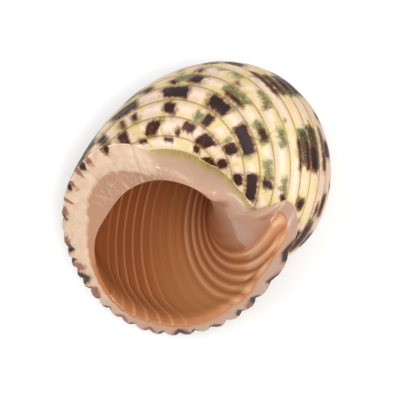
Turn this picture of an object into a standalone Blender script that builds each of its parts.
# A turban shell, grown as one piece: a coiled tube with cords wound along it, a wide round
# mouth, a thick scalloped outer lip and a smooth pillar and callus along the inner lip.
#
# The shell is worked out in its own frame, in units of half a whorl's width: the apex is at
# the origin, the axis of coiling is Z, and the base is down. A point on it has a growth
# angle, in degrees along the coil with the newest shell highest, and a section angle, in
# degrees round the whorl: 0 points away from the axis, 90 to the apex and -90 to the base.

import math

import bpy
import numpy as np
from mathutils import Matrix

# Size and coil
UNIT = 0.0190               # half the width of the last whorl, in metres
GROWTH_PER_TURN = 2.575     # each turn is this many times the size of the one before
CENTRE_OUT = 0.8745         # centre of the whorl's section, away from the axis
CENTRE_DOWN = 2.104         # centre of the whorl's section, below the apex
SECTION_LONG = 1.194        # long half axis of the section; the short one is the unit
SECTION_POWER = 2.09        # 2 is an ellipse
SECTION_LEAN = -45.4        # turn of the section

# Edges of the shell
SEAM = -4.0                 # section angle of a whorl where the next one rests on it
SEAM_AT_LIP = -25.0         # the last whorl comes down to here, a turn before the lip's end
SEAM_DROP = 210.0           # growth angle over which it comes down
SHOULDER = 50.0             # above this section angle the whorl reaches up to the suture
BASE_EDGE = -121.0          # section angle where the base gives way to the pillar
LIP_ANGLES = (-121.0, -90.0, -60.0, -30.0, 0.0, 30.0, 60.0, 72.0, 80.0, 87.0, 93.0, 100.0)
LIP_GROWTH = (-118.0, -85.0, -61.0, -46.0, -31.0, -12.0, 11.5, 25.0, 38.0, 61.0, 83.0, 88.0)
CALLUS_ANGLES = (-121.0, -119.0, -113.0, -100.0, -89.0, -77.0, -62.0, -48.0, -36.0, -25.0)
CALLUS_GROWTH = (-200.0, -220.0, -240.0, -260.0, -272.0, -280.0, -287.0, -285.0, -277.0, -272.0)
TURNS = 3

# Wall and pillar
WALL = 0.095
CALLUS = 0.03               # shelly glaze laid over the earlier whorl inside the mouth
PILLAR = 0.17               # radius of the pillar on the axis
HOLLOW_SHARPNESS = 14.0     # how tightly wall, earlier whorl and pillar meet; high is sharp
FAR_AWAY = 9.0              # stands for no bound in a direction
LIP_INSIDE = 18.0           # growth angle from the lip's edge to where the inside begins
BLIND_END = -350.0          # growth angle where the modelled inside ends

# Mouth: the flat in which the lip lies, and the rim's inner edge there, as a distance from
# the mouth's middle at each angle round it from the apex side
MOUTH_MIDDLE = (0.899, 0.005, -1.664)
MOUTH_NORMAL = (0.387, -0.523, -0.759)
RIM_ANGLES = (-7.0, 13.0, 29.0, 41.5, 50.0, 62.0, 67.0, 72.0, 79.0, 89.0, 104.0, 121.0, 143.0,
              169.0, 195.0, 216.0, 247.0, 265.0, 280.0, 297.0, 321.0, 353.0)
RIM_REACH = (0.735, 0.80, 0.85, 0.954, 1.07, 1.24, 1.15, 0.95, 0.80, 0.75, 0.78, 0.815, 0.862,
             0.882, 0.893, 0.965, 0.984, 0.965, 0.90, 0.835, 0.783, 0.735)
LIP_BULGE = 0.035
CALLUS_BULGE = 0.09
BULGE_BLEND = 30.0          # section angle over which one bulge turns into the other
RIM_RINGS = ((0.3, 0.8), (0.65, 1.0), (1.0, 0.4))  # share of the rim's width, of the bulge
INNER_SLOPE = (0.5, -0.2)   # the same for the ring between the rim and the inside
CORNER_RUN = 0.30           # length of edge, to each side of the suture, that fans out
CORNER_LIP = 14.0           # the rim sinks into the corner at the suture over these angles
CORNER_CALLUS = 30.0
CORNER_SINK = 0.6           # share of the way from the edge to the inside

# Facets
POINTS_PER_CORD = 4
COLUMNS_PER_TURN = 32
STRIDE_BEFORE_LAST = 2      # the last turn but one keeps every second row of points
STRIDE_EARLIER = 4
INSIDE_STEPS = 24
INSIDE_POINTS = 44

# Rest: turned in this order, the shell lies on its spire and shoulder with the mouth up
REST_TURN = ((-147.794, "X"), (14.592, "Y"), (-135.45, "Z"))


def scale_at(growth):
    return GROWTH_PER_TURN ** (growth / 360.0)


def smooth_step(t):
    t = np.clip(t, 0.0, 1.0)
    return t * t * (3.0 - 2.0 * t)


def oval_radius(angle):
    turned = np.radians(angle - SECTION_LEAN)
    across = np.abs(np.cos(turned)) ** SECTION_POWER
    along = np.abs(np.sin(turned) / SECTION_LONG) ** SECTION_POWER
    return (across + along) ** (-1.0 / SECTION_POWER)


def seam_angle(growth):
    """Section angle on a whorl where the whorl one turn later rests on it."""
    before_lip = LIP_GROWTH[-1] - 360.0 - growth
    return SEAM_AT_LIP + (SEAM - SEAM_AT_LIP) * smooth_step(before_lip / SEAM_DROP)


def suture(growth):
    """Section angle and reach at which a whorl meets the seam on the earlier one."""
    below = seam_angle(growth - 360.0)
    angle = np.radians(below)
    reach = oval_radius(below)
    out = (CENTRE_OUT + reach * np.cos(angle)) / GROWTH_PER_TURN - CENTRE_OUT
    up = CENTRE_DOWN - (CENTRE_DOWN - reach * np.sin(angle)) / GROWTH_PER_TURN
    return np.degrees(np.arctan2(up, out)), np.hypot(out, up)


SUTURE = float(suture(LIP_GROWTH[-1])[0])

# Cords, by the section angles of the grooves between them on the last whorl
GROOVES = (SUTURE, 87.0, 75.0, 62.0, 49.0, 36.0, 23.5, 11.0, -1.0, -13.0, SEAM_AT_LIP,
           -43.0, -60.0, -78.0, -94.0, -110.0, BASE_EDGE)
CORD_HEIGHT = 0.032
BASE_FLATTENING = 0.45      # share of their height that the cords lose towards the base
BASE_RUN = 60.0             # section angle over which they lose it
CORD_ROUNDNESS = 0.6        # below 1, the crown is flat and the groove narrow
SPLIT_RUN = 120.0           # each cord divides in two over this much growth before the lip
SPLIT_DEPTH = 0.8
SUTURE_FADE = 16.0          # cords die out over this section angle where whorls meet
SUTURE_FREE = 50.0          # and come back over this growth past the mouth


def section_radius(angle, growth):
    top, reach = suture(growth)
    lift = reach - oval_radius(top)
    return oval_radius(angle) + lift * smooth_step((angle - SHOULDER) / (top - SHOULDER))


def groove_angle(cord):
    """Section angle, on the last whorl, of a place counted in cords from the suture down."""
    return np.interp(cord, range(len(GROOVES)), GROOVES)


def cord_angle(cord, growth):
    """The same on any whorl: the cords crowd or spread with the seams above and below."""
    angle = groove_angle(cord)
    stretched = (suture(growth)[0] - SHOULDER) / (SUTURE - SHOULDER)
    squeezed = (SHOULDER - seam_angle(growth)) / (SHOULDER - SEAM_AT_LIP)
    return SHOULDER + (angle - SHOULDER) * np.where(angle > SHOULDER, stretched, squeezed)


def smooth_curve(x, xs, ys):
    """A curve through the given points, with the slope at each set by its neighbours."""
    xs = np.asarray(xs)
    ys = np.asarray(ys)
    slopes = np.gradient(ys, xs)
    i = np.clip(np.searchsorted(xs, x, side="right") - 1, 0, len(xs) - 2)
    width = xs[i + 1] - xs[i]
    t = (x - xs[i]) / width
    rise = ys[i + 1] - ys[i]
    bend_in = slopes[i] * width - rise
    bend_out = rise - slopes[i + 1] * width
    return ys[i] + t * rise + t * (1.0 - t) * ((1.0 - t) * bend_in + t * bend_out)


def lip_growth(angle):
    return smooth_curve(angle, LIP_ANGLES, LIP_GROWTH)


def callus_growth(angle):
    return smooth_curve(angle, CALLUS_ANGLES, CALLUS_GROWTH)


def cord_relief(cord, growth):
    """Height of the cords above their grooves, with each cord dividing near the lip."""
    angle = cord_angle(cord, growth)
    phase = cord % 1.0
    crown = np.abs(np.sin(math.pi * phase)) ** CORD_ROUNDNESS
    divided = np.abs(np.sin(2.0 * math.pi * phase)) ** CORD_ROUNDNESS
    near_lip = smooth_step(1.0 + (growth - lip_growth(angle)) / SPLIT_RUN)
    split = near_lip * SPLIT_DEPTH
    height = CORD_HEIGHT * (1.0 - BASE_FLATTENING * smooth_step((SEAM_AT_LIP - angle) / BASE_RUN))
    relief = height * (crown * (1.0 - split) + divided * split)
    covered = 1.0 - smooth_step((growth - LIP_GROWTH[-1] + 360.0) / SUTURE_FREE)
    above = smooth_step((suture(growth)[0] - angle) / SUTURE_FADE)
    below = smooth_step(np.abs(angle - seam_angle(growth)) / SUTURE_FADE)
    return relief * above * (1.0 - covered * (1.0 - below))


def place(growth, angle, radius):
    """A point of the shell from its growth angle, section angle and distance in the section."""
    size = scale_at(growth)
    away = size * (CENTRE_OUT + radius * np.cos(np.radians(angle)))
    height = size * (radius * np.sin(np.radians(angle)) - CENTRE_DOWN)
    turn = np.radians(growth)
    return np.stack([away * np.cos(turn), -away * np.sin(turn), height], axis=-1)


def outside(growth, cord):
    angle = cord_angle(cord, growth)
    return place(growth, angle, section_radius(angle, growth) + cord_relief(cord, growth))


def inside_radius(angle):
    """Reach of the hollow in the section: the wall, the earlier whorl and the pillar bound it."""
    wall = section_radius(angle, LIP_GROWTH[-1]) - WALL
    direction = np.radians(angle)
    toward_axis = np.maximum(-np.cos(direction), (CENTRE_OUT - PILLAR) / FAR_AWAY)
    pillar = (CENTRE_OUT - PILLAR) / toward_axis
    bounds = np.stack([wall, earlier_whorl_distance(direction), pillar])
    return np.sum(bounds ** -HOLLOW_SHARPNESS, axis=0) ** (-1.0 / HOLLOW_SHARPNESS)


def earlier_whorl_distance(direction):
    """Distance from the section's centre to the glazed earlier whorl, taken as an ellipse."""
    lean = math.radians(SECTION_LEAN)
    short_axis = 1.0 / GROWTH_PER_TURN + CALLUS
    long_axis = SECTION_LONG / GROWTH_PER_TURN + CALLUS
    shift = 1.0 / GROWTH_PER_TURN - 1.0
    from_x = -CENTRE_OUT * shift
    from_y = CENTRE_DOWN * shift

    def to_ellipse(x, y):
        along_short = (x * math.cos(lean) + y * math.sin(lean)) / short_axis
        along_long = (y * math.cos(lean) - x * math.sin(lean)) / long_axis
        return along_short, along_long

    start_x, start_y = to_ellipse(from_x, from_y)
    step_x, step_y = to_ellipse(np.cos(direction), np.sin(direction))
    a = step_x ** 2 + step_y ** 2
    b = start_x * step_x + start_y * step_y
    c = start_x ** 2 + start_y ** 2 - 1.0
    hit = b * b - a * c
    distance = (-b - np.sqrt(np.maximum(hit, 0.0))) / a
    return np.where((hit > 0.0) & (distance > 0.0), distance, FAR_AWAY)


def inside(growth, angle):
    return place(growth, angle, inside_radius(angle))


def inside_start(angle):
    """Growth angle where the inside begins: along the lip, then back across the pillar."""
    across = (BASE_EDGE - angle) / (BASE_EDGE - (SUTURE - 360.0))
    pillar = LIP_GROWTH[0] + (LIP_GROWTH[-1] - LIP_GROWTH[0]) * across
    edge = np.where(angle >= BASE_EDGE, lip_growth(np.maximum(angle, BASE_EDGE)), pillar)
    return edge - LIP_INSIDE


class Shell:
    """Collects the points and faces of the one closed surface."""

    def __init__(self):
        self.points = []
        self.faces = []

    def add(self, positions):
        first = len(self.points)
        self.points.extend(np.reshape(positions, (-1, 3)))
        return list(range(first, len(self.points)))

    def stitch(self, left, right):
        """Joins two rows of (parameter, point) pairs with triangles."""
        i = 0
        j = 0
        while i < len(left) - 1 or j < len(right) - 1:
            next_left = left[i + 1][0] if i < len(left) - 1 else math.inf
            next_right = right[j + 1][0] if j < len(right) - 1 else math.inf
            if next_left <= next_right:
                self.triangle(left[i][1], left[i + 1][1], right[j][1])
                i += 1
            else:
                self.triangle(left[i][1], right[j + 1][1], right[j][1])
                j += 1

    def triangle(self, a, b, c):
        if len({a, b, c}) == 3:
            self.faces.append((a, c, b))


def cord_rows():
    return np.arange((len(GROOVES) - 1) * POINTS_PER_CORD + 1) / POINTS_PER_CORD


def build_outside(shell):
    """The corded outside, column by column along the coil; returns the loop round its edge."""
    cords = cord_rows()
    angles = groove_angle(cords)
    below = GROOVES.index(SEAM_AT_LIP) * POINTS_PER_CORD
    last = TURNS * COLUMNS_PER_TURN
    open_from = last - COLUMNS_PER_TURN
    step = 360.0 / COLUMNS_PER_TURN
    first_growth = LIP_GROWTH[-1] - last * step
    top, reach = suture(first_growth)
    apex_height = scale_at(first_growth) * (reach * math.sin(math.radians(top)) - CENTRE_DOWN)
    apex = shell.add([(0.0, 0.0, apex_height)])[0]
    columns = []
    for j in range(last + 1):
        open_part = (j - open_from) / COLUMNS_PER_TURN
        if j < open_from:
            stride = STRIDE_BEFORE_LAST if j > open_from - COLUMNS_PER_TURN else STRIDE_EARLIER
            rows = np.arange(0, below + 1, stride)
            growth = np.full(len(rows), first_growth + j * step)
        else:
            rows = np.arange(len(angles))
            start = np.where(rows <= below, LIP_GROWTH[-1] - 360.0,
                             callus_growth(np.minimum(angles, SEAM_AT_LIP)))
            growth = start + (lip_growth(angles) - start) * open_part
        top = apex if j < COLUMNS_PER_TURN else columns[j - COLUMNS_PER_TURN][below]
        points = shell.add(outside(growth[1:], cords[rows[1:]]))
        columns.append(dict(zip(rows.tolist(), [top] + points)))
    for j in range(last):
        left = sorted(columns[j].items())
        right = sorted(columns[j + 1].items())
        if j + 1 == open_from:
            right = [pair for pair in right if pair[0] <= below]
        shell.stitch(left, right)
    start_cap = sorted(columns[0].items())
    for (_, a), (_, b) in zip(start_cap[1:], start_cap[2:]):
        shell.triangle(apex, b, a)
    return edge_loop(columns, angles, below, open_from)


def edge_loop(columns, angles, below, open_from):
    """The edge of the outside: the lip, then the base's edge, then the edge of the callus."""
    lip = [columns[-1][row] for row in range(len(angles))]
    base = [column[len(angles) - 1] for column in columns[-2:open_from - 1:-1]]
    callus = [columns[open_from][row] for row in range(len(angles) - 2, below, -1)]
    return lip, base + callus


def mouth_axes():
    normal = np.array(MOUTH_NORMAL) / np.linalg.norm(MOUTH_NORMAL)
    up = np.array((0.0, 0.0, 1.0))
    to_apex = up - normal * (up @ normal)
    to_apex /= np.linalg.norm(to_apex)
    return normal, to_apex, np.cross(normal, to_apex)


def rim_inner_edge(edge, length):
    """The rim's inner edge, facing each point of the outer edge across the mouth's flat."""
    normal, to_apex, across = mouth_axes()
    spoke = edge - np.array(MOUTH_MIDDLE)
    turn = np.unwrap(np.arctan2(spoke @ across, spoke @ to_apex))
    window = (length < CORNER_RUN) | (length > length[-1] - CORNER_RUN)
    signed = np.where(length > length[-1] / 2.0, length - length[-1], length)
    before = np.argmax(length > length[-1] - CORNER_RUN)
    after = np.argmax(length >= CORNER_RUN)
    ends = (turn[before] + 2.0 * math.pi, turn[after])
    fanned = np.interp(signed, (signed[before], signed[after]), ends)
    turn = np.where(window, fanned, turn)
    degrees = (np.degrees(turn) - RIM_ANGLES[0]) % 360.0 + RIM_ANGLES[0]
    reach = smooth_curve(degrees, RIM_ANGLES, RIM_REACH)
    direction = np.cos(turn)[:, None] * to_apex + np.sin(turn)[:, None] * across
    return np.array(MOUTH_MIDDLE) + reach[:, None] * direction


def build_rim(shell, lip, inner):
    """Rings from the edge of the outside, over the lip and callus, to where the inside starts."""
    edge = np.array([shell.points[i] for i in lip + inner + lip[:1]])
    length = np.concatenate([[0.0], np.cumsum(np.linalg.norm(np.diff(edge, axis=0), axis=1))])
    lip_length = length[len(lip) - 1]
    passed = (length[len(lip):-1] - lip_length) / (length[-1] - lip_length)
    inner_angles = BASE_EDGE - passed * (BASE_EDGE - (SUTURE - 360.0))
    ring_angles = np.concatenate([groove_angle(cord_rows()), inner_angles])
    start = edge[:-1]
    crest = rim_inner_edge(edge, length)[:-1]
    end = inside(inside_start(ring_angles), ring_angles)
    normal = mouth_axes()[0]
    on_lip = smooth_step((ring_angles - BASE_EDGE) / BULGE_BLEND)[:, None]
    lip_side = (SUTURE - ring_angles) / CORNER_LIP
    callus_side = (ring_angles + 360.0 - SUTURE) / CORNER_CALLUS
    raised = smooth_step(np.minimum(lip_side, callus_side))[:, None]
    bulge = (CALLUS_BULGE + (LIP_BULGE - CALLUS_BULGE) * on_lip) * raised * normal
    sunk = start + (end - start) * CORNER_SINK
    crest = sunk + (crest - sunk) * raised
    rings = [start + (crest - start) * share + bulge * part for share, part in RIM_RINGS]
    rings.append(crest + (end - crest) * INNER_SLOPE[0] + bulge * INNER_SLOPE[1])
    ring = list(lip + inner)
    for positions in rings:
        new_ring = shell.add(positions)
        close_loops(shell, ring_angles, ring, ring_angles, new_ring)
        ring = new_ring
    return ring_angles, ring


def close_loops(shell, left_angles, left, right_angles, right):
    """Stitches two closed loops, each run from the suture round to the suture again."""
    left_pairs = list(zip(SUTURE - left_angles, left)) + [(360.0, left[0])]
    right_pairs = list(zip(SUTURE - right_angles, right)) + [(360.0, right[0])]
    shell.stitch(left_pairs, right_pairs)


def build_inside(shell, ring_angles, ring):
    """The hollow, loop by loop from the lip back along the coil to a blind end."""
    loop_angles = SUTURE - np.arange(INSIDE_POINTS) * 360.0 / INSIDE_POINTS
    for step in range(INSIDE_STEPS + 1):
        depth = step / INSIDE_STEPS
        angles = ring_angles if step == 0 else loop_angles
        start = inside_start(angles)
        loop = shell.add(inside(start + (BLIND_END - start) * depth, angles))
        close_loops(shell, ring_angles, ring, angles, loop)
        ring_angles = angles
        ring = loop
    centre = shell.add(place(BLIND_END, 0.0, 0.0))[0]
    for a, b in zip(ring, ring[1:] + ring[:1]):
        shell.triangle(a, b, centre)


def rest_matrix():
    turn = Matrix.Identity(4)
    for degrees, axis in REST_TURN:
        turn = Matrix.Rotation(math.radians(degrees), 4, axis) @ turn
    return turn


def shell_material():
    material = bpy.data.materials.new("shell")
    material.use_nodes = True
    surface = material.node_tree.nodes["Principled BSDF"]
    surface.inputs["Base Color"].default_value = (0.60, 0.50, 0.32, 1.0)
    surface.inputs["Roughness"].default_value = 0.4
    surface.inputs["Metallic"].default_value = 0.0
    return material


def make_shell():
    shell = Shell()
    lip, inner = build_outside(shell)
    ring_angles, ring = build_rim(shell, lip, inner)
    build_inside(shell, ring_angles, ring)
    turn = np.array(rest_matrix().to_3x3())
    points = np.array(shell.points) @ turn.T * UNIT
    low = points.min(axis=0)
    high = points.max(axis=0)
    points -= ((low[0] + high[0]) / 2.0, (low[1] + high[1]) / 2.0, low[2])
    mesh = bpy.data.meshes.new("shell")
    mesh.from_pydata(points.tolist(), [], shell.faces)
    mesh.validate()
    mesh.shade_smooth()
    mesh.materials.append(shell_material())
    part = bpy.data.objects.new("shell", mesh)
    bpy.context.scene.collection.objects.link(part)
    return part


def main():
    for old in list(bpy.data.objects):
        bpy.data.objects.remove(old)
    make_shell()


main()
